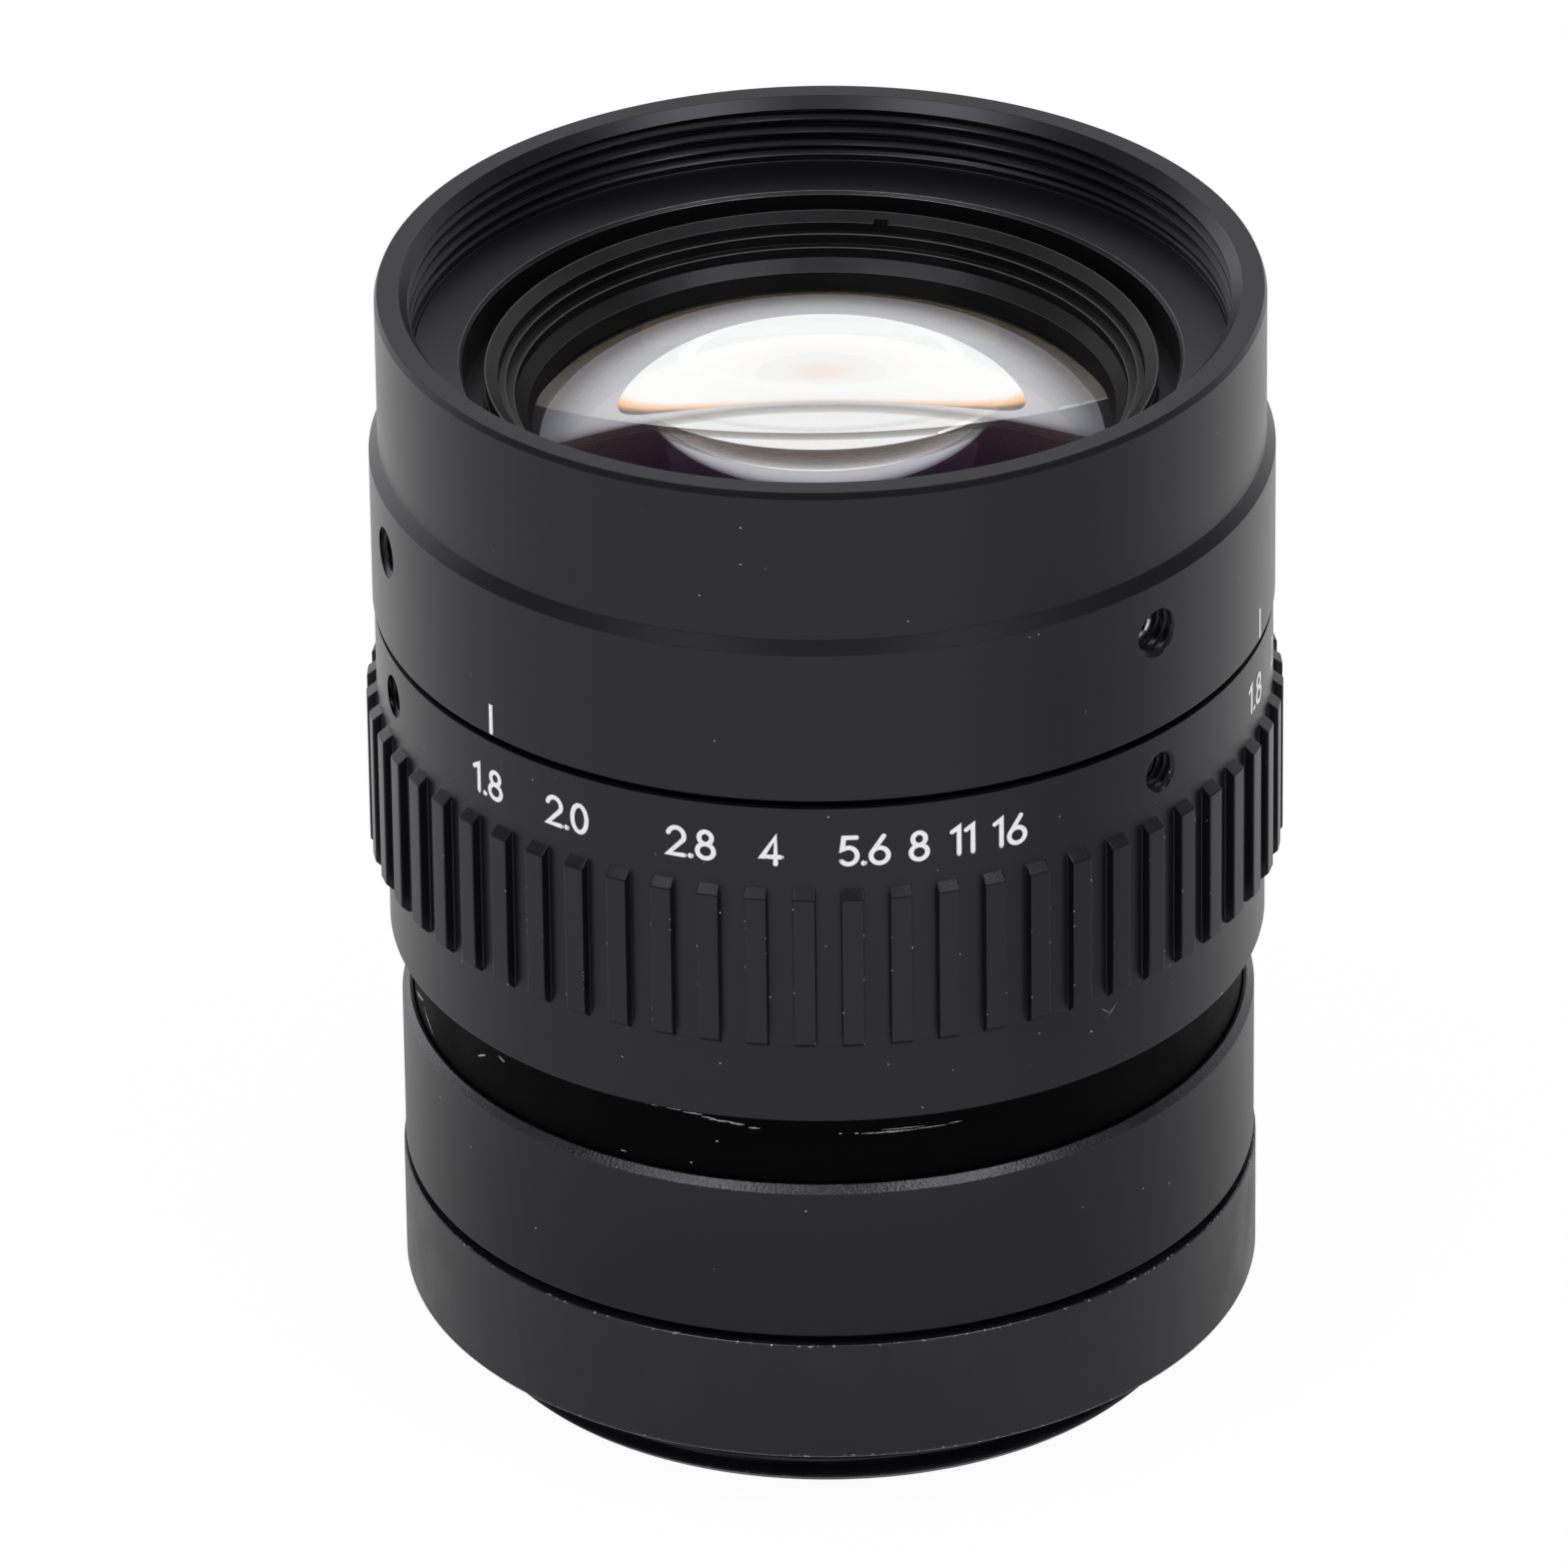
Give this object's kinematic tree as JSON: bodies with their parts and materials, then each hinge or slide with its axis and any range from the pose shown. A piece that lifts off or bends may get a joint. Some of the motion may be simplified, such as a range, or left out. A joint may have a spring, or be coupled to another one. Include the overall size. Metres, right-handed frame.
{
  "type": "machine vision lens",
  "caption": "Fixed-focal machine vision lens: screw mount, smooth focus ring, knurled iris ring that closes a blade diaphragm, stepped front barrel with a filter thread.",
  "frame": {"origin": "centre of the camera mount's flange face, where the mount thread ends on it", "axes": "+Z along the optical axis towards the scene; -Y is the side with the lens's numerals in the picture"},
  "size_m": [0.0316, 0.0316, 0.04],
  "materials": {
    "black_anodised": "black satin anodised",
    "inner_black": "black matte anodised",
    "screw_steel": "plain steel",
    "blade_steel": "blackened spring steel",
    "key_brass": "plain brass",
    "lens_glass": "coated optical glass"
  },
  "bodies": {
    "mount": {"mount_base": "black_anodised", "guide_keys": "key_brass", "focus_retainer": "inner_black"},
    "focus": {"focus_ring": "black_anodised"},
    "barrel": {"main_barrel": "inner_black", "front_barrel": "black_anodised", "index_screws": "screw_steel", "iris_base": "inner_black", "iris_cover": "inner_black", "front_cell": "inner_black", "front_retaining_ring": "inner_black", "front_element": "lens_glass", "front_spacer": "inner_black", "second_element": "lens_glass", "doublet_spacer": "inner_black", "front_doublet_crown": "lens_glass", "front_doublet_flint": "lens_glass", "rear_doublet_ring": "inner_black", "rear_doublet_flint": "lens_glass", "rear_doublet_crown": "lens_glass", "rear_cell": "inner_black", "rear_element": "lens_glass", "rear_spacer": "inner_black", "field_element": "lens_glass", "rear_retaining_ring": "inner_black"},
    "iris": {"iris_ring": "black_anodised", "drive_screws": "screw_steel", "iris_cam_ring": "inner_black"},
    "blade_1": {"iris_blade_1": "blade_steel"},
    "blade_2": {"iris_blade_2": "blade_steel"},
    "blade_3": {"iris_blade_3": "blade_steel"},
    "blade_4": {"iris_blade_4": "blade_steel"},
    "blade_5": {"iris_blade_5": "blade_steel"},
    "blade_6": {"iris_blade_6": "blade_steel"}
  },
  "joints": [
    {"name": "focus_turn", "type": "hinge", "parent": "mount", "child": "focus", "pos_m": [0, 0, 0], "axis": [0, 0, 1], "range_deg": [-156, 0]},
    {"name": "focus_travel", "type": "slide", "parent": "mount", "child": "barrel", "axis": [0, 0, 1], "range_m": [-0.0026, 0]},
    {"name": "iris_turn", "type": "hinge", "parent": "barrel", "child": "iris", "pos_m": [0, 0, 0], "axis": [0, 0, 1], "range_deg": [-71.4, 0]},
    {"name": "blade_1_turn", "type": "hinge", "parent": "barrel", "child": "blade_1", "pos_m": [0.0105, 0, 0], "axis": [0, 0, 1], "range_deg": [0, 25.87]},
    {"name": "blade_2_turn", "type": "hinge", "parent": "barrel", "child": "blade_2", "pos_m": [0.00525, 0.00909, 0], "axis": [0, 0, 1], "range_deg": [0, 25.87]},
    {"name": "blade_3_turn", "type": "hinge", "parent": "barrel", "child": "blade_3", "pos_m": [-0.00525, 0.00909, 0], "axis": [0, 0, 1], "range_deg": [0, 25.87]},
    {"name": "blade_4_turn", "type": "hinge", "parent": "barrel", "child": "blade_4", "pos_m": [-0.0105, 0, 0], "axis": [0, 0, 1], "range_deg": [0, 25.87]},
    {"name": "blade_5_turn", "type": "hinge", "parent": "barrel", "child": "blade_5", "pos_m": [-0.00525, -0.00909, 0], "axis": [0, 0, 1], "range_deg": [0, 25.87]},
    {"name": "blade_6_turn", "type": "hinge", "parent": "barrel", "child": "blade_6", "pos_m": [0.00525, -0.00909, 0], "axis": [0, 0, 1], "range_deg": [0, 25.87]}
  ],
  "couplings": [
    {"joint": "focus_turn", "follows": "focus_travel", "rad_per_m": 1047.2},
    {"joint": "blade_1_turn", "follows": "iris_turn", "ratio": -0.36227},
    {"joint": "blade_2_turn", "follows": "iris_turn", "ratio": -0.36227},
    {"joint": "blade_3_turn", "follows": "iris_turn", "ratio": -0.36227},
    {"joint": "blade_4_turn", "follows": "iris_turn", "ratio": -0.36227},
    {"joint": "blade_5_turn", "follows": "iris_turn", "ratio": -0.36227},
    {"joint": "blade_6_turn", "follows": "iris_turn", "ratio": -0.36227}
  ]
}
